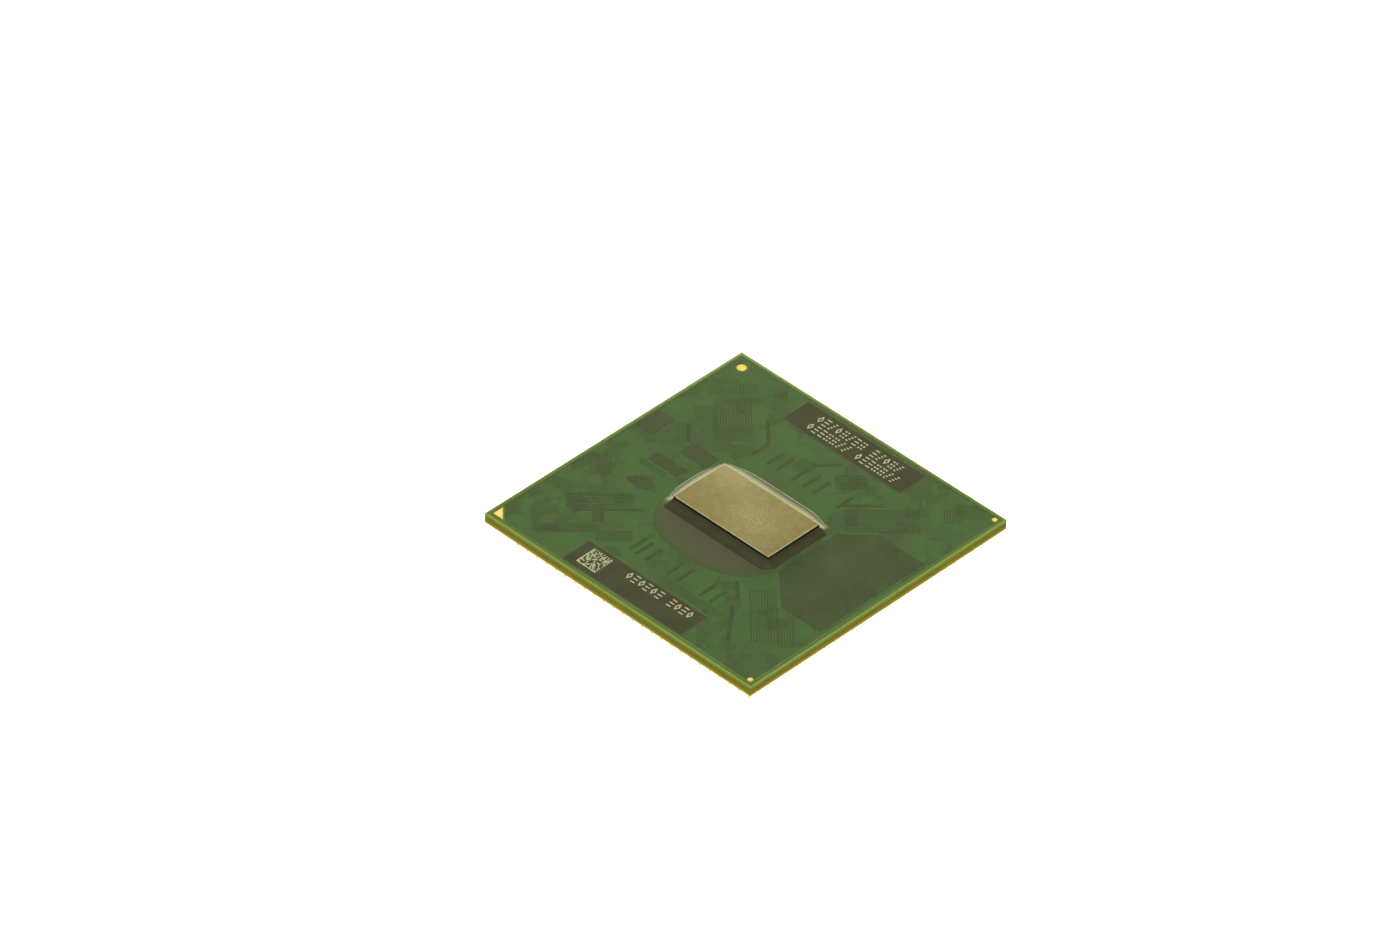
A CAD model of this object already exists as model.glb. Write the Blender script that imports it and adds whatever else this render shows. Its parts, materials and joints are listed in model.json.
"""Looks of a mobile processor in a flip-chip pin grid package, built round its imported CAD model.

Lengths are in metres. MM turns a length in millimetres into metres. +Z is up from the pin tips to the die.
"""

import json
import math

import bmesh
import bpy
import numpy as np
from mathutils import Matrix, Vector


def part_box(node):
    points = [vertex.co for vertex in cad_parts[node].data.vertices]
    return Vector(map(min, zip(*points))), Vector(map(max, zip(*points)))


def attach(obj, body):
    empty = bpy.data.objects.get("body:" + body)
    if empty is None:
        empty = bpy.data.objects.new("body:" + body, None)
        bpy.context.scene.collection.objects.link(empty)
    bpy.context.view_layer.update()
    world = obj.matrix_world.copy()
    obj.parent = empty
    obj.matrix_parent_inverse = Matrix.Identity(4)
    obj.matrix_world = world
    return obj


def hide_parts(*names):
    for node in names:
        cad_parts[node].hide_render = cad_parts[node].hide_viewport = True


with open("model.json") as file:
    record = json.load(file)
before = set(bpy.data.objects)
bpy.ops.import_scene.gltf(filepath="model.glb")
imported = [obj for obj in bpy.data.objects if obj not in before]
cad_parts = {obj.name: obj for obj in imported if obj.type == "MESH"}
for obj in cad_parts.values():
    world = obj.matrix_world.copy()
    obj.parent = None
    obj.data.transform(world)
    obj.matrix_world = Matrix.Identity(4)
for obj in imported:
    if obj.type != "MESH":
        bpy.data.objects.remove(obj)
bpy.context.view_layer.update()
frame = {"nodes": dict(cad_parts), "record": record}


# ---- Camera ----
# One long lens looks down on the package from its front right corner, and leans a little to one side. It
# stands about a metre away, so the package hardly narrows towards the back.

MM = 0.001
mask_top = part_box("top_solder_mask")[1].z
view_azimuth = math.radians(42.878)
view_elevation = math.radians(39.669)
view_roll = math.radians(-2.108)
view_distance = 1022.8 * MM
aim_right = -4.533 * MM
aim_up = 4.576 * MM

towards_camera = np.array([
    math.sin(view_azimuth) * math.cos(view_elevation),
    -math.cos(view_azimuth) * math.cos(view_elevation),
    math.sin(view_elevation),
])
level_right = np.array([math.cos(view_azimuth), math.sin(view_azimuth), 0.0])
level_up = np.cross(towards_camera, level_right)
camera_place = (
    np.array([0.0, 0.0, mask_top])
    + view_distance * towards_camera
    + aim_right * level_right
    + aim_up * level_up
)
roll_cos, roll_sin = math.cos(view_roll), math.sin(view_roll)
camera_right = roll_cos * level_right - roll_sin * level_up
camera_up = roll_sin * level_right + roll_cos * level_up

camera_data = bpy.data.cameras.new("camera")
camera_data.sensor_width = 36.0
camera_data.lens = 277.47
camera_data.clip_start = 0.02
camera_data.clip_end = 20.0
camera = bpy.data.objects.new("camera", camera_data)
turn = np.column_stack([camera_right, camera_up, towards_camera])
camera.matrix_world = Matrix.Translation(camera_place) @ Matrix(turn.tolist()).to_4x4()
bpy.context.scene.collection.objects.link(camera)
bpy.context.scene.camera = camera
bpy.context.scene.view_settings.view_transform = "Standard"


# ---- Core of the package ----
# Woven glass fibre in resin, 0.8 mm thick, with its cut edges bare. Plated vias through it are plugged
# with resin, and a copper plane covers each face up to a bare rim.

nodes = frame["nodes"]
package_low, package_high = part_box("core_laminate")
half_side = package_high.x


def set_stops(colour_ramp, stops):
    """Gives a colour ramp its stops, each a place from 0 to 1 and its grey or colour."""
    elements = colour_ramp.elements
    while len(elements) < len(stops):
        elements.new(0.5)
    for element, (position, shade) in zip(elements, stops):
        element.position = position
        element.color = (*shade, 1.0) if isinstance(shade, tuple) else (shade, shade, shade, 1.0)


class Finish:
    """A material being put together. Most methods add nodes and return the socket that they end in."""

    def __init__(self, name, **settings):
        self.material = bpy.data.materials.new(name)
        self.material.use_nodes = True
        self.tree = self.material.node_tree
        self.shader = self.tree.nodes["Principled BSDF"]
        for label, value in settings.items():
            self.shader.inputs[label.replace("_", " ")].default_value = value

    def node(self, kind, **properties):
        """A new node with its properties set."""
        made = self.tree.nodes.new(kind)
        for label, value in properties.items():
            setattr(made, label, value)
        return made

    def feed(self, socket, value):
        """Links a socket to another one, or sets it to a number, a vector or a colour."""
        if isinstance(value, bpy.types.NodeSocket):
            self.tree.links.new(value, socket)
        elif isinstance(value, tuple) and len(value) == 3 and len(socket.default_value) == 4:
            socket.default_value = (*value, 1.0)
        else:
            socket.default_value = value

    def to_shader(self, label, value):
        """Links or sets one of the shader's sockets."""
        self.feed(self.shader.inputs[label], value)

    def place(self, stretch=(1.0, 1.0, 1.0), turned=0.0, shift=0.0):
        """The place on the object in millimetres, stretched, turned about Z and shifted."""
        mapping = self.node("ShaderNodeMapping")
        mapping.inputs["Scale"].default_value = tuple(factor / MM for factor in stretch)
        mapping.inputs["Location"].default_value = (shift, shift, 0.0)
        mapping.inputs["Rotation"].default_value = (0.0, 0.0, turned)
        self.feed(mapping.inputs["Vector"], self.node("ShaderNodeTexCoord").outputs["Object"])
        return mapping.outputs["Vector"]

    def noise(self, size, detail=3.0, roughness=0.55, distortion=0.0, stretch=(1.0, 1.0, 1.0), turned=0.0):
        """Cloudy noise from 0 to 1 whose patches are about `size` millimetres across."""
        made = self.node("ShaderNodeTexNoise")
        self.feed(made.inputs["Vector"], self.place(stretch, turned))
        for label, value in (("Scale", 0.5 / size), ("Detail", detail), ("Roughness", roughness),
                             ("Distortion", distortion)):
            made.inputs[label].default_value = value
        return made.outputs["Fac"]

    def cells(self, size, turned=0.0, metric="EUCLIDEAN", shift=0.0):
        """Cells round points scattered about `size` millimetres apart: the distance to the point, in steps of
        `size`, and a number from 0 to 1 that each cell has drawn."""
        made = self.node("ShaderNodeTexVoronoi", distance=metric)
        self.feed(made.inputs["Vector"], self.place(turned=turned, shift=shift))
        made.inputs["Scale"].default_value = 1.0 / size
        drawn = self.node("ShaderNodeSeparateColor")
        self.feed(drawn.inputs["Color"], made.outputs["Color"])
        return made.outputs["Distance"], drawn.outputs["Red"]

    def ramp(self, value, *stops):
        """A colour or grey read off between the stops, each a place from 0 to 1 and its grey or colour."""
        made = self.node("ShaderNodeValToRGB")
        self.feed(made.inputs["Fac"], value)
        set_stops(made.color_ramp, stops)
        return made.outputs["Color"]

    def sum(self, operation, first, second=0.0):
        """One sum of any kind, such as adding, multiplying or a sine, on one or two numbers."""
        made = self.node("ShaderNodeMath", operation=operation)
        for socket, value in zip(made.inputs, (first, second)):
            self.feed(socket, value)
        return made.outputs["Value"]

    def mix(self, share, first, second):
        """The first colour, turned into the second by a share from 0 to 1. The node has sockets for numbers,
        vectors and colours under the same names, so the ones for colours are taken by their order."""
        made = self.node("ShaderNodeMix", data_type="RGBA")
        for order, value in ((0, share), (6, first), (7, second)):
            self.feed(made.inputs[order], value)
        return made.outputs[2]

    def between(self, value, low, high):
        """0 below `low`, 1 above `high`, and a straight change from one to the other."""
        made = self.node("ShaderNodeMapRange", clamp=True)
        for label, number in (("Value", value), ("From Min", low), ("From Max", high)):
            self.feed(made.inputs[label], number)
        return made.outputs["Result"]

    def axis(self, letter, absolute=False, turned=0.0):
        """One coordinate of the place on the object, in millimetres."""
        apart = self.node("ShaderNodeSeparateXYZ")
        self.feed(apart.inputs["Vector"], self.place(turned=turned))
        value = apart.outputs[letter]
        return self.sum("ABSOLUTE", value) if absolute else value

    def out_from_middle(self):
        """The larger of |x| and |y| in millimetres: the same all along a square round the middle."""
        return self.sum("MAXIMUM", self.axis("X", absolute=True), self.axis("Y", absolute=True))

    def noted(self, name):
        """The number that a mesh carries on its vertices under a name."""
        return self.node("ShaderNodeAttribute", attribute_name=name).outputs["Fac"]

    def relief(self, height, depth, strength):
        """Bumps `depth` millimetres deep where the height goes from 0 to 1."""
        made = self.node("ShaderNodeBump")
        made.inputs["Strength"].default_value = strength
        made.inputs["Distance"].default_value = depth * MM
        self.feed(made.inputs["Height"], height)
        self.to_shader("Normal", made.outputs["Normal"])


def finish_node(name, finish):
    """Gives a CAD node its finish."""
    materials = nodes[name].data.materials
    materials.clear()
    materials.append(finish.material)


core_edge = Finish("glass_fibre_edge", Roughness=0.62, Specular_IOR_Level=0.03)
above_underside = core_edge.sum("SUBTRACT", core_edge.axis("Z"), package_low.z / MM)
edge_shade = core_edge.ramp(
    core_edge.sum("DIVIDE", above_underside, (package_high.z - package_low.z) / MM),
    (0.0, (0.3, 0.22, 0.008)), (0.15, (0.19, 0.155, 0.007)), (0.32, (0.1, 0.09, 0.006)),
    (0.6, (0.08, 0.088, 0.008)), (0.85, (0.11, 0.155, 0.032)), (1.0, (0.13, 0.185, 0.034)))
fibre_streaks = core_edge.noise(0.9, detail=4.0, stretch=(1.0, 1.0, 14.0))
fibre_ends = core_edge.noise(0.05, detail=2.0, stretch=(1.0, 1.0, 2.5))
edge_shade = core_edge.mix(core_edge.between(fibre_streaks, 0.42, 0.66), edge_shade, (0.15, 0.135, 0.012))
edge_shade = core_edge.mix(core_edge.between(fibre_ends, 0.5, 0.72), edge_shade, (0.17, 0.16, 0.03))
core_edge.to_shader("Base Color", edge_shade)
core_edge.relief(core_edge.mix(0.5, fibre_streaks, fibre_ends), 0.03, 0.7)
finish_node("core_laminate", core_edge)

plated_copper = Finish("plated_copper", Metallic=1.0)
copper_stain = plated_copper.noise(0.4)
plated_copper.to_shader("Base Color", plated_copper.ramp(
    copper_stain, (0.3, (0.62, 0.3, 0.16)), (0.7, (0.82, 0.46, 0.27))))
plated_copper.to_shader("Roughness", plated_copper.ramp(copper_stain, (0.3, 0.3), (0.7, 0.5)))
for copper_node in ("core_vias", "upper_core_plane", "lower_core_plane", "upper_signal_copper",
                    "lower_power_copper", "top_copper", "pin_lands", "capacitor_lands", "bump_lands"):
    finish_node(copper_node, plated_copper)

plug_resin = Finish("plug_resin", Roughness=0.7)
plug_resin.to_shader("Base Color", plug_resin.ramp(
    plug_resin.noise(0.06), (0.3, (0.42, 0.36, 0.2)), (0.7, (0.58, 0.52, 0.33))))
finish_node("via_plugs", plug_resin)


# ---- Build-up films ----
# Two thin resin films are pressed on each side of the core, over and round the routed copper. Only their
# cut edges show, as a bright line above and below the core.

film_edge = Finish("pressed_film_edge", Roughness=0.55, Specular_IOR_Level=0.03)
film_specks = film_edge.noise(0.12, detail=3.0, stretch=(1.0, 1.0, 3.0))
upper_film_shade = film_edge.ramp(
    film_specks, (0.3, (0.1, 0.16, 0.02)), (0.55, (0.14, 0.22, 0.03)), (0.75, (0.2, 0.28, 0.05)))
lower_film_shade = film_edge.ramp(
    film_specks, (0.3, (0.22, 0.16, 0.006)), (0.55, (0.32, 0.25, 0.01)), (0.75, (0.42, 0.34, 0.03)))
above_core = film_edge.between(film_edge.axis("Z"), package_low.z / MM, package_high.z / MM)
film_edge.to_shader("Base Color", film_edge.mix(above_core, lower_film_shade, upper_film_shade))
film_edge.relief(film_specks, 0.01, 0.6)
for film_node in ("upper_inner_film", "lower_inner_film", "upper_outer_film", "lower_outer_film"):
    finish_node(film_node, film_edge)


# ---- Solder mask ----
# A satin green lacquer, about 35 micrometres thick, is laid over each outer film. The copper below shows
# through it as faint darker islands and fine slanting lines. The rim has no copper below it and is brighter.

bare_rim = half_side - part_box("upper_core_plane")[1].x
mask_green = (0.035, 0.102, 0.024)
mask_cloud = (0.039, 0.082, 0.024)
mask_olive = (0.027, 0.052, 0.014)
rim_green = (0.058, 0.115, 0.016)
rim_line_green = (0.2, 0.3, 0.045)
dust_grey = (0.2, 0.26, 0.15)
slant = math.radians(45)
cloud_size = 1.6
island_size = 2.3
trace_group_size = 3.1
trace_pitch = 0.27
dust_spacing = 1.7


def tinted(colour, share):
    """A colour with all its channels multiplied by one share."""
    return tuple(channel * share for channel in colour)


def lacquer(name, colour, cloud, roughness, side):
    """Green lacquer: clouds, islands, lines, grain and dust in its colour, a brighter rim, a cut side of its
    own colour and a slightly wavy face."""
    finish = Finish(name)
    clouds = finish.between(finish.noise(cloud_size, detail=5.0, roughness=0.6, distortion=0.4), 0.46, 0.6)
    shade = finish.mix(clouds, colour, cloud)

    island_drawn = finish.cells(island_size, turned=slant, metric="CHEBYCHEV")[1]
    islands = finish.sum("MULTIPLY", finish.between(island_drawn, 0.58, 0.62),
                         finish.between(finish.noise(0.9, detail=3.0), 0.42, 0.5))
    shade = finish.mix(finish.sum("MULTIPLY", islands, 0.7), shade, tinted(cloud, 0.68))

    lines = 0.0
    for angle, seed in ((slant, 0.0), (-slant, 40.0)):
        across = finish.axis("X", turned=angle)
        stripe = finish.between(
            finish.sum("SINE", finish.sum("MULTIPLY", across, 2 * math.pi / trace_pitch)), 0.0, 0.8)
        group_drawn = finish.cells(trace_group_size, turned=slant, metric="CHEBYCHEV", shift=seed)[1]
        group = finish.between(group_drawn, 0.6, 0.62)
        lines = finish.sum("ADD", lines, finish.sum("MULTIPLY", stripe, group))
    shade = finish.mix(finish.sum("MULTIPLY", lines, 0.35), shade, tinted(colour, 0.66))

    grain = finish.noise(0.07, detail=2.0)
    fine_light = finish.sum("MULTIPLY", finish.between(grain, 0.4, 0.8), 0.3)
    shade = finish.mix(fine_light, shade, tinted(colour, 1.3))
    speck_distance, speck_drawn = finish.cells(dust_spacing)
    specks = finish.sum("MULTIPLY", finish.between(speck_distance, 0.03, 0.018),
                        finish.between(speck_drawn, 0.75, 0.76))
    shade = finish.mix(specks, shade, dust_grey)

    out = finish.out_from_middle()
    rim_start = (half_side - bare_rim) / MM
    cut = half_side / MM
    for start, end, rim_shade in ((rim_start - 0.03, rim_start + 0.05, rim_green),
                                  (cut - 0.22, cut - 0.06, rim_line_green), (cut - 0.006, cut - 0.002, side)):
        shade = finish.mix(finish.between(out, start, end), shade, rim_shade)
    finish.to_shader("Base Color", shade)
    finish.to_shader("Roughness", finish.ramp(grain, (0.3, roughness - 0.015), (0.7, roughness + 0.02)))
    waves = finish.mix(0.3, finish.noise(0.5, detail=2.0), finish.noise(0.22, detail=1.0))
    finish.relief(finish.sum("ADD", waves, finish.sum("MULTIPLY", lines, 0.25)), 0.012, 0.5)
    return finish


mask_roughness = 0.3
finish_node("top_solder_mask", lacquer(
    "upper_green_mask", mask_green, mask_cloud, mask_roughness, (0.16, 0.25, 0.036)))
finish_node("bottom_solder_mask", lacquer(
    "lower_green_mask", mask_green, mask_cloud, mask_roughness, (0.32, 0.26, 0.015)))


# ---- Copper pattern under the top mask ----
# The outer copper is covered by the mask, which stands a few micrometres proud over it and looks darker and
# more olive. Its raised outline is the CAD pattern, lifted to the face and rounded along its edges.

raised_by = 0.012 * MM
raised_rounding = 0.01 * MM
sunk_by = 0.008 * MM
weld_distance = 0.0001 * MM
flat_within_radians = 0.01


def piece(name, mesh, finish, slot, *replaced):
    """Makes an object of a mesh, gives it its finish and has it ride on the package. It stands for the CAD
    nodes in `replaced`, if any."""
    made = bpy.data.objects.new(name, mesh)
    bpy.context.scene.collection.objects.link(made)
    mesh.materials.append(finish.material)
    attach(made, "root")
    if replaced:
        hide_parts(*replaced)
    return made


def round_edges(made, width, steps):
    """Rounds a piece's sharp edges, `width` back from each and in so many steps."""
    bevel = made.modifiers.new("rounded", "BEVEL")
    bevel.width = width
    bevel.segments = steps
    bevel.limit_method = "ANGLE"
    bevel.angle_limit = math.radians(40)


def lifted_copy(node, low, high):
    """A copy of a flat CAD node, its lower face at the height `low` and its upper face at `high`."""
    shape = bmesh.new()
    shape.from_mesh(nodes[node].data)
    bmesh.ops.remove_doubles(shape, verts=shape.verts, dist=weld_distance)
    bmesh.ops.dissolve_limit(shape, angle_limit=flat_within_radians, verts=shape.verts, edges=shape.edges)
    mesh = bpy.data.meshes.new(node + "_lifted")
    shape.to_mesh(mesh)
    shape.free()
    points = np.empty(len(mesh.vertices) * 3, np.float32)
    mesh.vertices.foreach_get("co", points)
    heights = points[2::3]
    heights[:] = np.where(heights > heights.mean(), high, low)
    mesh.vertices.foreach_set("co", points)
    return mesh


olive_mask = lacquer(
    "mask_over_copper", mask_olive, tinted(mask_olive, 1.15), mask_roughness + 0.01, mask_olive)
raised_copper = piece(
    "mask_raised_over_copper", lifted_copy("top_copper", mask_top - sunk_by, mask_top + raised_by),
    olive_mask, "solder_mask")
round_edges(raised_copper, raised_rounding, 3)


# ---- Lip of the mask ----
# The lacquer forms a low ridge along the bare rim and falls off from it in a soft slope to the cut edge. It
# looks brighter and more yellow there, because no copper lies under it.


def rectangle(low, high, inset=0.0):
    """The corners of a box seen from above, anticlockwise, kept back from its sides by `inset`."""
    return [(low.x + inset, low.y + inset), (high.x - inset, low.y + inset),
            (high.x - inset, high.y - inset), (low.x + inset, high.y - inset)]


def corner_outline(corners, steps):
    """A convex outline with places for round corners, as points and outward directions.

    Each corner, taken anticlockwise, is repeated `steps` times while its direction swings evenly from the
    normal of the side before it to the normal of the side after it. The outline grown by a distance is then
    each point plus that distance times its direction.
    """
    corners = np.asarray(corners, float)
    sides = np.roll(corners, -1, axis=0) - corners
    after = np.arctan2(-sides[:, 0], sides[:, 1])
    before = np.roll(after, 1)
    swing = (after - before) % (2 * np.pi)
    angle = before[:, None] + swing[:, None] * np.linspace(0.0, 1.0, steps)
    directions = np.stack([np.cos(angle), np.sin(angle)], axis=-1).reshape(-1, 2)
    return np.repeat(corners, steps, axis=0), directions


def mitred_outline(corners):
    """A convex outline whose corners stay sharp: each corner's direction is the sum of the normals of its two
    sides, divided by 1 plus their product, so that both sides move out by the same distance."""
    corners = np.asarray(corners, float)
    sides = np.roll(corners, -1, axis=0) - corners
    after = np.column_stack([sides[:, 1], -sides[:, 0]]) / np.linalg.norm(sides, axis=1, keepdims=True)
    before = np.roll(after, 1, axis=0)
    return corners, (before + after) / (1 + (before * after).sum(axis=1, keepdims=True))


def circle_outline(sides):
    """A circle's outline: every point at its middle, with its directions all round."""
    angle = 2 * np.pi * np.arange(sides) / sides
    return np.zeros((sides, 2)), np.column_stack([np.cos(angle), np.sin(angle)])


def stack(outline, levels, ring=False):
    """A closed surface from one outline at several levels, each how far it has grown and its height.

    Point (level i, place j) = point j + growth i x direction j, at height i. Flat faces close the first and
    the last level, or with `ring` the last level is joined to the first, which makes a tube.
    """
    points, directions = outline
    growth, height = np.asarray(levels, float).T
    count, sides = len(growth), len(points)
    flat = points[None] + growth[:, None, None] * directions[None]
    height = np.broadcast_to(height[:, None, None], (count, sides, 1))
    vertices = np.concatenate([flat, height], axis=2).reshape(-1, 3)
    row = np.arange(count if ring else count - 1)[:, None]
    column = np.arange(sides)[None]
    below, above = row * sides, (row + 1) % count * sides
    beside = (column + 1) % sides
    quads = np.stack([below + column, below + beside, above + beside, above + column], axis=-1)
    faces = quads.reshape(-1, 4).tolist()
    if not ring:
        faces.append(list(range(sides))[::-1])
        faces.append(list(range((count - 1) * sides, count * sides)))
    return vertices, faces


def mesh_of(name, *shapes, sharp=35.0):
    """One mesh from several shapes, each its vertices and its faces, shaded smooth except across edges that
    turn by more than `sharp` degrees."""
    vertices = np.concatenate([shape[0] for shape in shapes])
    starts = np.cumsum([0] + [len(shape[0]) for shape in shapes[:-1]])
    faces = [[corner + start for corner in face] for shape, start in zip(shapes, starts.tolist())
             for face in shape[1]]
    mesh = bpy.data.meshes.new(name)
    mesh.from_pydata(vertices.tolist(), [], faces)
    mesh.validate()
    mesh.shade_smooth()
    mesh.set_sharp_from_angle(angle=math.radians(sharp))
    return mesh


lip_finish = Finish("mask_lip", Roughness=0.3, Specular_IOR_Level=0.5)
lip_grain = lip_finish.noise(0.2, detail=3.0, distortion=0.5)
lip_shade = lip_finish.ramp(
    lip_grain, (0.3, (0.064, 0.122, 0.018)), (0.55, (0.074, 0.135, 0.021)), (0.75, (0.092, 0.155, 0.028)))
at_edge = lip_finish.between(lip_finish.out_from_middle(), half_side / MM - 0.2, half_side / MM - 0.06)
lip_finish.to_shader("Base Color", lip_finish.mix(at_edge, lip_shade, (0.19, 0.29, 0.045)))
lip_finish.relief(lip_grain, 0.006, 0.4)
lip_profile = [(-0.47, -0.004), (0.002, -0.03), (0.003, -0.012), (-0.01, -0.002), (-0.06, 0.006),
               (-0.2, 0.027), (-0.34, 0.045), (-0.4, 0.047), (-0.44, 0.03), (-0.47, 0.0)]
lip_shape = stack(mitred_outline(rectangle(package_low, package_high)),
                  [(out * MM, mask_top + up * MM) for out, up in lip_profile], ring=True)
piece("mask_edge_lip", mesh_of("mask_lip", lip_shape), lip_finish, "solder_mask")


# ---- Gold pads and corner triangle ----
# Bare copper pads plated with nickel and gold, each in its own opening in the mask. The camera of a placing
# machine finds the package by the round ones, and the triangle marks the keyed corner.


def note_on_vertices(mesh, name, values):
    """Writes one number on each vertex, which a finish can read by its name."""
    mesh.attributes.new(name, "FLOAT", "POINT").data.foreach_set("value", np.asarray(values, np.float32))


gold = Finish("gold_plate", Metallic=1.0)
gold_stain = gold.noise(0.25, detail=4.0)
gold_shade = gold.ramp(gold_stain, (0.3, (0.8, 0.63, 0.21)), (0.72, (0.91, 0.76, 0.31)))
gold.to_shader("Base Color", gold.mix(gold.noted("stained_edge"), gold_shade, (0.3, 0.19, 0.035)))
gold.to_shader("Roughness", gold.ramp(gold.noise(0.05), (0.3, 0.42), (0.7, 0.58)))
gold.relief(gold.noise(0.04, detail=2.0), 0.004, 0.6)

pad_top = mask_top + 0.004 * MM
pad_rounding = 0.02 * MM
pad_sides = 36
pad_crown = [(0.88, 0.002), (0.8, 0.002), (0.5, 0.001), (0.25, 0.0)]
pad_stain = [1.0, 1.0, 1.0, 1.0, 0.8, 0.0, 0.3, 0.0]


def plated_pad(name, *pads):
    """Round pads, each with its middle, radius and underside: a side, a shoulder rounded in a quarter circle,
    and a crown that rises a few micrometres towards the middle. The side and the shoulder are stained."""
    shoulder = np.radians([0.0, 45.0, 90.0])
    shapes = []
    for middle, radius, low in pads:
        out = radius - pad_rounding * (1 - np.cos(shoulder))
        up = pad_top - pad_rounding * (1 - np.sin(shoulder)) - 0.003 * MM
        crown = [(share * radius, pad_top - down * MM) for share, down in pad_crown]
        vertices, faces = stack(circle_outline(pad_sides), [(radius, low), *zip(out, up), *crown])
        shapes.append((vertices + np.array([*middle, 0.0]), faces))
    mesh = mesh_of(name, *shapes)
    note_on_vertices(mesh, "stained_edge", np.tile(np.repeat(pad_stain, pad_sides), len(pads)))
    piece(name + "_plating", mesh, gold, "gold", name)


large_low, large_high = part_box("large_alignment_pad")
large_middle = (large_low + large_high) / 2
plated_pad("large_alignment_pad", (large_middle.xy, (large_high.x - large_low.x) / 2, large_low.z))

small_low, small_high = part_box("small_alignment_pads")
small_radius = (small_high.x - small_low.x) / 2
small_x = (small_low.x + small_high.x) / 2
plated_pad("small_alignment_pads", *(((small_x, y), small_radius, small_low.z)
                                     for y in (small_low.y + small_radius, small_high.y - small_radius)))

triangle_low, triangle_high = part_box("pin_one_triangle")
triangle_mesh = mesh_of("triangle", stack(
    mitred_outline([(triangle_low.x, triangle_low.y), (triangle_high.x, triangle_low.y),
                    (triangle_low.x, triangle_high.y)]),
    [(0.0, triangle_low.z), (0.0, pad_top - 0.01 * MM), (-0.02 * MM, pad_top - 0.002 * MM),
     (-0.07 * MM, pad_top), (-0.11 * MM, pad_top)]))
note_on_vertices(triangle_mesh, "stained_edge", np.repeat([1.0, 1.0, 1.0, 0.8, 0.0], 3))
piece("triangle_plating", triangle_mesh, gold, "gold", "pin_one_triangle")


# ---- Contact pins, nail heads and their solder ----
# Round gold-plated wires stand in a square grid. Each has a wide flat head, soldered to a copper land in its
# opening in the lower mask. The solder climbs from the land over the head to the shank in a hollow curve.

pin_low, pin_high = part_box("contact_pins")
pin_rows = 26
bare_rows = 14
pin_mount = next(mount for mount in frame["record"]["mounts"] if mount["kind"] == "pin")
pin_radius = pin_mount["dims"]["r_mm"] * MM
pin_pitch = (pin_high.x - pin_low.x - 2 * pin_radius) / (pin_rows - 1)
pin_sides = 12
tip_taper = 0.05 * MM


def centred(count, step):
    """Places in a row, `step` apart, with zero in their middle."""
    return (np.arange(count) - (count - 1) / 2) * step


# The middle of the grid is bare, and so are the two places at the keyed corner.
column, row = np.meshgrid(np.arange(pin_rows), np.arange(pin_rows), indexing="ij")
bare = np.abs(centred(pin_rows, 1)) < bare_rows / 2
keyed = (column == row) & (column < 2)
occupied = ~(bare[column] & bare[row]) & ~keyed
places_out = centred(pin_rows, pin_pitch)
pin_places = np.column_stack([places_out[column[occupied]], places_out[row[occupied]]])


def repeat(shape, places):
    """One shape at each of several places on the plane: every vertex is moved by every place."""
    vertices, faces = shape
    moved = vertices[None] + np.pad(places, ((0, 0), (0, 1)))[:, None]
    starts = (np.arange(len(places)) * len(vertices)).tolist()
    return moved.reshape(-1, 3), [[corner + start for corner in face] for start in starts for face in faces]


pin_shape = stack(circle_outline(pin_sides), [
    (pin_radius - tip_taper, pin_low.z), (pin_radius, pin_low.z + tip_taper), (pin_radius, pin_high.z)])
piece("pin_wires", mesh_of("pins", repeat(pin_shape, pin_places), sharp=30.0), gold, "gold", "contact_pins")

head_low, head_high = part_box("pin_heads")
head_radius = (head_high.x - pin_high.x) + pin_radius
head_shape = stack(circle_outline(pin_sides), [(head_radius, head_low.z), (head_radius, head_high.z)])
piece("pin_nail_heads", mesh_of("heads", repeat(head_shape, pin_places), sharp=30.0),
      gold, "gold", "pin_heads")

joint_low, joint_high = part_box("pin_solder_joints")
joint_radius = (joint_high.x - pin_high.x) + pin_radius
climb = np.linspace(0.0, 1.0, 5)
neck_radius = pin_radius + 0.012 * MM
cone_out = neck_radius + (joint_radius - neck_radius) * (1 - climb ** 0.62)
mask_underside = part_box("bottom_solder_mask")[0].z
cone_down = mask_underside - (mask_underside - joint_low.z) * climb
solder_shape = stack(circle_outline(pin_sides), [
    *zip(cone_out[::-1], cone_down[::-1]), (joint_radius, joint_high.z)])

solder = Finish("pin_solder", Metallic=1.0)
solder_grain = solder.noise(0.09, detail=4.0)
solder.to_shader("Base Color", solder.ramp(
    solder_grain, (0.3, (0.46, 0.45, 0.43)), (0.7, (0.68, 0.67, 0.64))))
solder.to_shader("Roughness", solder.ramp(solder_grain, (0.3, 0.22), (0.7, 0.46)))
solder.relief(solder_grain, 0.012, 0.6)
piece("pin_solder_cones", mesh_of("joints", repeat(solder_shape, pin_places), sharp=50.0),
      solder, "solder", "pin_solder_joints")
finish_node("die_bumps", solder)


# ---- Die ----
# A block of silicon, soldered face down on its bumps. Its back was ground, so it is satin and slightly
# mottled. Its sawn sides are smooth and nearly black.

die_low, die_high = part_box("die_silicon")
die_edge = 0.025 * MM


def soft_block(low, high, rounding, steps=4):
    """A box with its edges rounded: quarter circles in its outline and in its levels."""
    swing = np.radians(np.linspace(0.0, 90.0, steps))
    out = rounding * np.cos(swing)
    up = rounding * (1 - np.sin(swing))
    levels = [*zip(out[::-1], low.z + up[::-1]), *zip(out, high.z - up)]
    return stack(corner_outline(rectangle(low, high, rounding), steps), levels)


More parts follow.
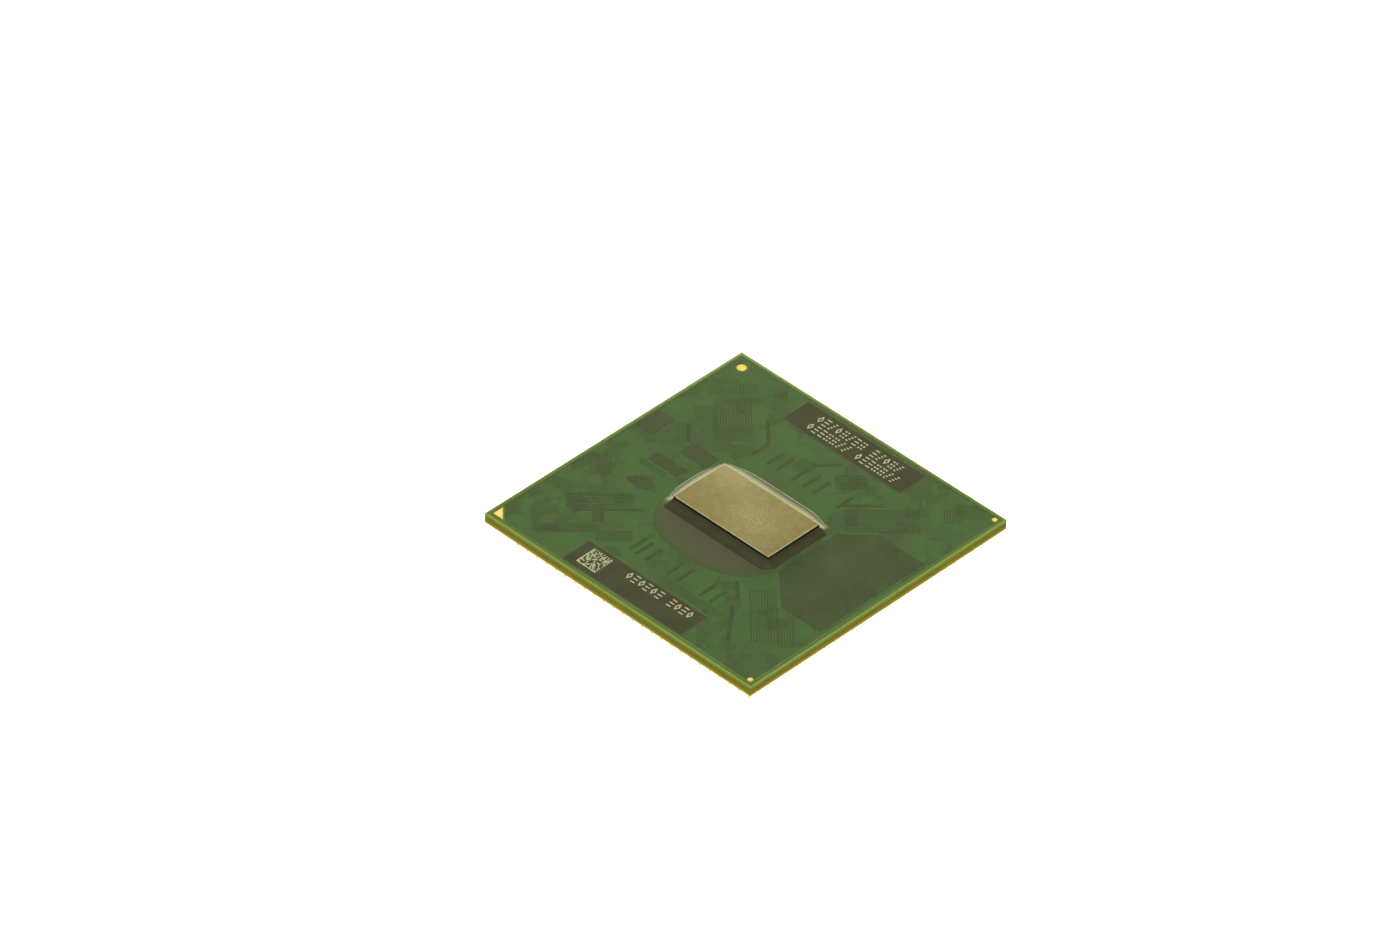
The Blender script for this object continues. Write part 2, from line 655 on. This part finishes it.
silicon = Finish("ground_silicon", Specular_IOR_Level=0.45)
height_left = silicon.sum("SUBTRACT", die_high.z / MM, silicon.axis("Z"))
on_side = silicon.between(height_left, 0.02, 0.032)
mottle = silicon.noise(0.35, detail=5.0, roughness=0.65)
fine_mottle = silicon.noise(0.06, detail=3.0)
grinding = silicon.noise(0.5, detail=3.0, stretch=(1.0, 22.0, 1.0), turned=math.radians(38))
back_shade = silicon.ramp(mottle, (0.3, (0.19, 0.158, 0.056)), (0.5, (0.215, 0.184, 0.069)),
                          (0.68, (0.255, 0.222, 0.088)))
back_shade = silicon.mix(silicon.between(grinding, 0.6, 0.74), back_shade, (0.27, 0.235, 0.115))
warm = silicon.between(silicon.noise(1.4, detail=2.0), 0.52, 0.68)
back_shade = silicon.mix(silicon.sum("MULTIPLY", warm, 0.25), back_shade, (0.25, 0.185, 0.07))

dusty_x = silicon.sum("SUBTRACT", silicon.axis("X"), 1.7)
dusty_y = silicon.sum("SUBTRACT", silicon.axis("Y"), -1.0)
from_dusty = silicon.sum("SQRT", silicon.sum("ADD", silicon.sum("MULTIPLY", dusty_x, dusty_x),
                                             silicon.sum("MULTIPLY", dusty_y, dusty_y)))
dusty = silicon.between(from_dusty, 4.2, 0.6)
flecks = silicon.sum("MULTIPLY", dusty, silicon.between(fine_mottle, 0.5, 0.62))
back_shade = silicon.mix(flecks, back_shade, (0.42, 0.4, 0.25))

from_long_side = silicon.sum("SUBTRACT", die_high.y / MM, silicon.axis("Y", absolute=True))
from_short_side = silicon.sum("SUBTRACT", die_high.x / MM, silicon.axis("X", absolute=True))
from_side = silicon.sum("MINIMUM", from_long_side, from_short_side)
worn_edge = silicon.sum("MULTIPLY", silicon.between(from_side, 0.13, 0.05),
                        silicon.between(silicon.noise(0.12, detail=4.0), 0.28, 0.5))
back_shade = silicon.mix(worn_edge, back_shade, (0.5, 0.46, 0.26))
silicon.to_shader("Base Color", silicon.mix(on_side, back_shade, (0.004, 0.0035, 0.002)))
back_roughness = silicon.ramp(mottle, (0.3, 0.36), (0.7, 0.5))
silicon.to_shader("Roughness", silicon.mix(on_side, back_roughness, (0.6, 0.6, 0.6)))
silicon.relief(silicon.mix(0.5, grinding, fine_mottle), 0.004, 0.5)
piece("silicon_die", mesh_of("die", soft_block(die_low, die_high, die_edge), sharp=50.0),
      silicon, "silicon", "die_silicon")

wiring = Finish("die_wiring", Metallic=0.4)
wiring_bands = wiring.noise(0.15, stretch=(1.0, 1.0, 30.0))
wiring.to_shader("Base Color", wiring.ramp(
    wiring_bands, (0.35, (0.03, 0.028, 0.025)), (0.65, (0.09, 0.085, 0.07))))
wiring.to_shader("Roughness", wiring.ramp(wiring_bands, (0.3, 0.3), (0.7, 0.5)))
finish_node("die_wired_layer", wiring)


# ---- Underfill ----
# Dark epoxy that was let flow under the die from its front side, where it left a film on the mask. It fills
# the gap round the bumps and climbs the die's sides in a hollow fillet. At the rear and the left that fillet
# is lower and glossier, and thins out into the mask.

under_low, under_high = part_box("underfill")
wired_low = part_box("die_wired_layer")[0]
sunk = mask_top - 0.004 * MM
flow_side = np.array([0.68, -0.73])
side_width = 1.05 * MM
front_widening = 0.25 * MM
thin_widening = 0.3 * MM
corner_narrowing = 0.16
thin_corner_narrowing = 0.34
thin_corner_length = 1.4 * MM
drop_share = 0.3
thin_drop_share = 0.14
wave_share = 0.02
film_thickness = 0.03 * MM
film_half = under_high.x - 0.4 * MM
film_depth = die_low.y - under_low.y
film_middle = np.array([0.0, die_low.y - 0.45 * film_depth])
film_fullness = 0.86
film_edge_sharpness = 12

resin = Finish("underfill_resin", Coat_Roughness=0.2)
resin_flow = resin.noise(0.8)
resin_shade = resin.ramp(resin_flow, (0.3, (0.04, 0.044, 0.023)), (0.7, (0.05, 0.054, 0.029)))
thin_film = resin.noted("thin_film")
film_shade = resin.mix(resin.between(thin_film, 0.75, 1.0), (0.07, 0.079, 0.045), (0.05, 0.088, 0.036))
resin_shade = resin.mix(resin.between(thin_film, 0.0, 0.05), resin_shade, film_shade)
resin_shade = resin.mix(resin.noted("toe_line"), resin_shade, (0.105, 0.11, 0.07))
resin.to_shader("Base Color", resin_shade)
resin.to_shader("Roughness", resin.ramp(resin_flow, (0.3, 0.27), (0.7, 0.31)))
resin_gloss = resin.noted("resin_gloss")
resin.to_shader("Specular IOR Level", resin.sum("ADD", 0.1, resin.sum("MULTIPLY", resin_gloss, 0.4)))
resin.to_shader("Coat Weight", resin.sum("MULTIPLY", resin_gloss, 0.12))
resin.relief(resin.noise(0.9, detail=0.0), 0.006, 0.3)


def long_outline(low, high, spacing, steps):
    """A box's outline with places for round corners, and with points at most `spacing` apart on its sides.

    Each stretch between two places is cut into equal shares. A point on it is the first place plus its share
    of the way to the next, and its direction turns in the same share.
    """
    points, directions = corner_outline(rectangle(low, high), steps)
    next_points, next_directions = np.roll(points, -1, axis=0), np.roll(directions, -1, axis=0)
    gaps = np.linalg.norm(next_points - points, axis=1)
    cuts = np.maximum(1, np.ceil(gaps / spacing).astype(int))
    start = np.repeat(np.arange(len(points)), cuts)
    share = np.concatenate([np.arange(count) / count for count in cuts])[:, None]
    along = points[start] + share * (next_points[start] - points[start])
    facing = directions[start] + share * (next_directions[start] - directions[start])
    return along, facing / np.linalg.norm(facing, axis=1, keepdims=True)


# Round the die, `thin` goes from 0 on the side that the resin came from to 1 on the far side, and `cornered`
# from 0 along a side to 1 where a corner faces along its diagonal.
round_points, round_directions = long_outline(die_low, die_high, spacing=0.4 * MM, steps=14)
thin = np.clip(0.5 - 0.75 * (round_directions @ flow_side), 0.0, 1.0)
cornered = 4 * (round_directions[:, 0] * round_directions[:, 1]) ** 2
from_corner = np.hypot(*(np.array(die_high[:2])[:, None] - np.abs(round_points.T)))
fillet_width = side_width + front_widening * np.abs(round_directions[:, 1]) + thin_widening * thin
fillet_width *= 1 - corner_narrowing * cornered
fillet_width *= 1 - thin_corner_narrowing * thin * np.exp(-(from_corner / thin_corner_length) ** 2)

# The fillet stands as high as the square of what is left of its reach, on top of the film's thickness. It is
# then lowered by a share that grows on the thin side and waves a little round the die.
reach = np.linspace(0.0, 1.0, 19)
fillet_height = mask_top + film_thickness + (under_high.z - mask_top - film_thickness) * (1 - reach) ** 2
fillet_height[-1] = sunk
fillet_levels = [*zip(reach[::-1], fillet_height[::-1]), (-0.01, fillet_height[0]), (-0.01, sunk)]
fillet_points, fillet_faces = stack(
    (round_points, round_directions * fillet_width[:, None]), fillet_levels, ring=True)
angle_round = np.arctan2(fillet_points[:, 1], fillet_points[:, 0])
wave = np.sin(5 * angle_round + 0.7) + 0.6 * np.sin(11 * angle_round + 2.1) + 0.4 * np.sin(23 * angle_round)
stood = np.maximum(fillet_points[:, 2] - mask_top, 0.0)
drop = drop_share + thin_drop_share * np.tile(thin, len(fillet_levels)) + wave_share * wave
fillet_points[:, 2] -= np.where(stood > film_thickness, drop * (stood - film_thickness), 0.0)

under_die = stack(corner_outline(rectangle(die_low, die_high, 0.02 * MM), 1),
                  [(0.0, sunk), (0.0, wired_low.z)])

# The film's front edge is half of a full oval: x is its half width times the cosine, and y its depth times
# the sine, both to the power `film_fullness`. Its face falls by a high power of the reach, so it is level and
# turns down sharply at that edge.
sweep = np.linspace(np.pi, 2 * np.pi, 73)
front = np.stack([film_half * np.sign(np.cos(sweep)) * np.abs(np.cos(sweep)) ** film_fullness,
                  die_low.y - film_depth * np.abs(np.sin(sweep)) ** film_fullness], axis=1)
film_outline = (np.repeat(film_middle[None], len(front), axis=0), front - film_middle)
film_reach = np.linspace(1.0, 0.0, 12)[:-1]
film_face = mask_top + film_thickness * (1 - film_reach ** film_edge_sharpness) - 0.002 * MM
dispensed_film = stack(film_outline, [(0.3, sunk), (1.0, sunk), *zip(film_reach, film_face)])

resin_mesh = mesh_of("underfill", (fillet_points, fillet_faces), under_die, dispensed_film, sharp=60.0)


def note_on_resin(name, on_fillet, on_film):
    """Writes one number on each vertex of the resin: its own on the fillet, 0 under the die, and its own on
    the film. The fillet's numbers have a row for each level, or one row that holds for them all."""
    on_fillet = np.broadcast_to(on_fillet, (len(fillet_levels), len(round_points)))
    note_on_vertices(resin_mesh, name, np.concatenate(
        [on_fillet.ravel(), np.zeros(len(under_die[0])), np.full(len(dispensed_film[0]), on_film)]))


level_reach = np.array([*reach[::-1], 0.0, 0.0])[:, None]
toe_line = np.exp(-((level_reach - 0.95) / 0.04) ** 2)
note_on_resin("toe_line", toe_line * (1 - 0.9 * thin), 0.0)
note_on_resin("resin_gloss", thin * (1 - 0.85 * np.sqrt(cornered)), 0.3)
thinned = np.clip((level_reach - 0.35 + 0.3 * cornered) / 0.65, 0.0, 1.0)
film_share = np.repeat([0.3, 1.0, *(0.05 + 0.95 * film_reach)], len(front))
note_on_resin("thin_film", thinned * thin, film_share)
piece("underfill_resin_body", resin_mesh, resin, "underfill_resin", "underfill")


# ---- Printed panels and marks ----
# Two panels of dark ink are printed on the mask. Light marks stand on them: rows of plain shapes that spell
# nothing, and one square of dots.

ink = Finish("dark_ink", Specular_IOR_Level=0.12)
ink_grain = ink.noise(0.05, detail=3.0)
ink_wash = ink.noise(1.2, detail=3.0)
ink_shade = ink.ramp(ink_grain, (0.3, (0.038, 0.044, 0.022)), (0.7, (0.052, 0.058, 0.032)))
ink_shade = ink.mix(ink.between(ink_wash, 0.4, 0.65), ink_shade, (0.036, 0.041, 0.021))
ink.to_shader("Base Color", ink.mix(ink.noted("thin_border"), ink_shade, (0.085, 0.095, 0.055)))
ink.to_shader("Roughness", ink.ramp(ink_grain, (0.3, 0.42), (0.7, 0.58)))
ink.relief(ink_grain, 0.006, 0.7)
ink_rounding = 0.01 * MM
for panel in ("rear_marking_panel", "front_marking_panel"):
    panel_low, panel_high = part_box(panel)
    panel_mesh = mesh_of(panel, stack(
        mitred_outline(rectangle(panel_low, panel_high)),
        [(0.0, panel_low.z - ink_rounding), (0.0, panel_low.z + 0.3 * ink_rounding),
         (-0.03 * MM, panel_high.z), (-0.1 * MM, panel_high.z), (-0.2 * MM, panel_high.z)]))
    note_on_vertices(panel_mesh, "thin_border", np.repeat([0.0, 0.0, 0.9, 0.9, 0.0], 4))
    piece(panel + "_ink", panel_mesh, ink, "dark_ink", panel)

marks = Finish("light_marks", Roughness=0.6)
mark_wear = marks.noise(0.06, detail=3.0, roughness=0.7)
marks.to_shader("Base Color", marks.ramp(
    mark_wear, (0.28, (0.17, 0.175, 0.11)), (0.45, (0.4, 0.41, 0.27)), (0.7, (0.52, 0.53, 0.37))))
marks.relief(mark_wear, 0.004, 0.6)
for mark_node in ("rear_marks", "front_marks", "dot_matrix"):
    finish_node(mark_node, marks)


# ---- Capacitors ----
# Small ceramic capacitors hang in the bare middle of the underside. Each is a brown ceramic body dipped in
# tin at both ends, with solder drawn along each end from its land.

cap_columns = 4
cap_rows = 7
cap_length = 1.6 * MM
cap_width = 0.82 * MM
cap_rounding = 0.06 * MM
terminal_length = 0.3 * MM
body_low, body_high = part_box("capacitor_bodies")
end_low, end_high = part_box("capacitor_terminals")
foot_low, foot_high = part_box("capacitor_solder")
terminal_wall = end_high.x - body_high.x
column_step = (end_high.x - end_low.x - cap_length) / (cap_columns - 1)
row_step = (end_high.y - end_low.y - cap_width) / (cap_rows - 1)
cap_x, cap_y = np.meshgrid(centred(cap_columns, column_step), centred(cap_rows, row_step))
cap_places = np.column_stack([cap_x.ravel(), cap_y.ravel()])

ceramic = Finish("capacitor_ceramic", Roughness=0.48)
ceramic_grain = ceramic.noise(0.06, detail=4.0)
ceramic.to_shader("Base Color", ceramic.ramp(
    ceramic_grain, (0.3, (0.2, 0.12, 0.07)), (0.55, (0.28, 0.175, 0.105)), (0.75, (0.36, 0.25, 0.16))))
ceramic.relief(ceramic_grain, 0.008, 0.7)
body_shape = soft_block(
    Vector((-cap_length / 2 + terminal_wall, -cap_width / 2 + terminal_wall, body_low.z)),
    Vector((cap_length / 2 - terminal_wall, cap_width / 2 - terminal_wall, body_high.z)), cap_rounding)
piece("capacitor_ceramic_bodies", mesh_of("capacitor_bodies", repeat(body_shape, cap_places)),
      ceramic, "capacitor_ceramic", "capacitor_bodies")

tin = Finish("tin_plate", Metallic=1.0)
tin_grain = tin.noise(0.05, detail=3.0)
tin.to_shader("Base Color", tin.ramp(tin_grain, (0.3, (0.55, 0.54, 0.51)), (0.7, (0.76, 0.75, 0.71))))
tin.to_shader("Roughness", tin.ramp(tin_grain, (0.3, 0.34), (0.7, 0.52)))
tin.relief(tin_grain, 0.008, 0.6)
end_shapes = [soft_block(Vector((low_x, -cap_width / 2, end_low.z)),
                         Vector((low_x + terminal_length, cap_width / 2, end_high.z)), cap_rounding)
              for low_x in (-cap_length / 2, cap_length / 2 - terminal_length)]
ends_mesh = mesh_of("capacitor_ends", *(repeat(shape, cap_places) for shape in end_shapes))
piece("capacitor_tin_ends", ends_mesh, tin, "tin", "capacitor_terminals")


def carried_along_y(profile, width, side):
    """A closed profile of places (out, height) carried straight along Y, with flat ends.

    Point (end i, profile j) = (side x out j, side x end i, height j), where the two ends lie half the width
    on either side of zero. `side` is 1, or -1 to turn the shape half round.
    """
    count = len(profile)
    out, height = np.asarray(profile, float).T
    rows = [np.column_stack([side * out, np.full(count, side * y), height]) for y in (-width / 2, width / 2)]
    column = np.arange(count)
    beside = (column + 1) % count
    faces = np.column_stack([column, column + count, beside + count, beside]).tolist()
    faces += [column.tolist(), (column[::-1] + count).tolist()]
    return np.concatenate(rows), faces


# The solder draws in with the square of what is left of its climb.
foot_climb = np.linspace(0.0, 1.0, 6)[1:-1]
foot = foot_high.x - (end_high.x - cap_length / 2)
foot_out = cap_length / 2 + (foot - cap_length / 2) * (1 - foot_climb) ** 2
foot_down = end_high.z + (foot_low.z - end_high.z) * foot_climb
foot_profile = [
    (cap_length / 2 - terminal_length, foot_high.z), (foot, foot_high.z), (foot, end_high.z),
    *zip(foot_out, foot_down),
    (cap_length / 2 - 0.02 * MM, foot_low.z), (cap_length / 2 - terminal_length, end_high.z)]
foot_shapes = [carried_along_y(foot_profile, cap_width, side) for side in (1, -1)]
feet_mesh = mesh_of("capacitor_feet", *(repeat(shape, cap_places) for shape in foot_shapes))
piece("capacitor_solder_feet", feet_mesh, solder, "solder", "capacitor_solder")


# ---- Floor and light ----
# A pale table with a glow of its own, a wide soft light above on the camera's side, a low one behind on the
# left, and pale surroundings that are brightest at the horizon.

table = Finish("pale_table", Roughness=0.6)
table.to_shader("Base Color", (0.86, 0.86, 0.84))
table.to_shader("Emission Color", (1.0, 1.0, 0.985))
table.shader.inputs["Emission Strength"].default_value = 1.0
table_corner = Vector((4.0, 4.0, 0.0))
table_mesh = bpy.data.meshes.new("table")
table_mesh.from_pydata(
    [(x, y, 0.0) for x, y in rectangle(-table_corner, table_corner)], [], [(0, 1, 2, 3)])
table_mesh.materials.append(table.material)
table_top = bpy.data.objects.new("table", table_mesh)
bpy.context.scene.collection.objects.link(table_top)


def soft_light(name, place, width, depth, power, colour):
    """An oblong area light that faces the package. Its width lies level."""
    data = bpy.data.lights.new(name, "AREA")
    data.shape = "RECTANGLE"
    data.size = width
    data.size_y = depth
    data.energy = power
    data.color = colour
    made = bpy.data.objects.new(name, data)
    across = np.cross([0.0, 0.0, 1.0], place)
    across /= np.linalg.norm(across)
    back = np.asarray(place) / np.linalg.norm(place)
    facing = np.column_stack([across, np.cross(back, across), back])
    made.matrix_world = Matrix.Translation(place) @ Matrix(facing.tolist()).to_4x4()
    bpy.context.scene.collection.objects.link(made)


soft_light("overhead_softbox", place=(0.06, -0.06, 0.75), width=0.85, depth=0.85, power=5.4,
           colour=(1.0, 0.95, 0.8))
soft_light("low_rear_softbox", place=(-0.43, 0.46, 0.16), width=0.6, depth=0.3, power=2.0,
           colour=(1.0, 0.99, 0.6))

world = bpy.data.worlds.new("surroundings")
bpy.context.scene.world = world
world.use_nodes = True
sky = world.node_tree
background = sky.nodes["Background"]
direction = sky.nodes.new("ShaderNodeTexCoord")
apart = sky.nodes.new("ShaderNodeSeparateXYZ")
shading = sky.nodes.new("ShaderNodeValToRGB")
sky.links.new(direction.outputs["Generated"], apart.inputs["Vector"])
sky.links.new(apart.outputs["Z"], shading.inputs["Fac"])
set_stops(shading.color_ramp, (
    (0.0, (1.0, 0.97, 0.9)), (0.22, (0.8, 0.76, 0.62)), (0.5, (0.3, 0.28, 0.2)),
    (0.8, (0.27, 0.25, 0.18)), (1.0, (0.5, 0.47, 0.36))))
sky.links.new(shading.outputs["Color"], background.inputs["Color"])
background.inputs["Strength"].default_value = 1.0
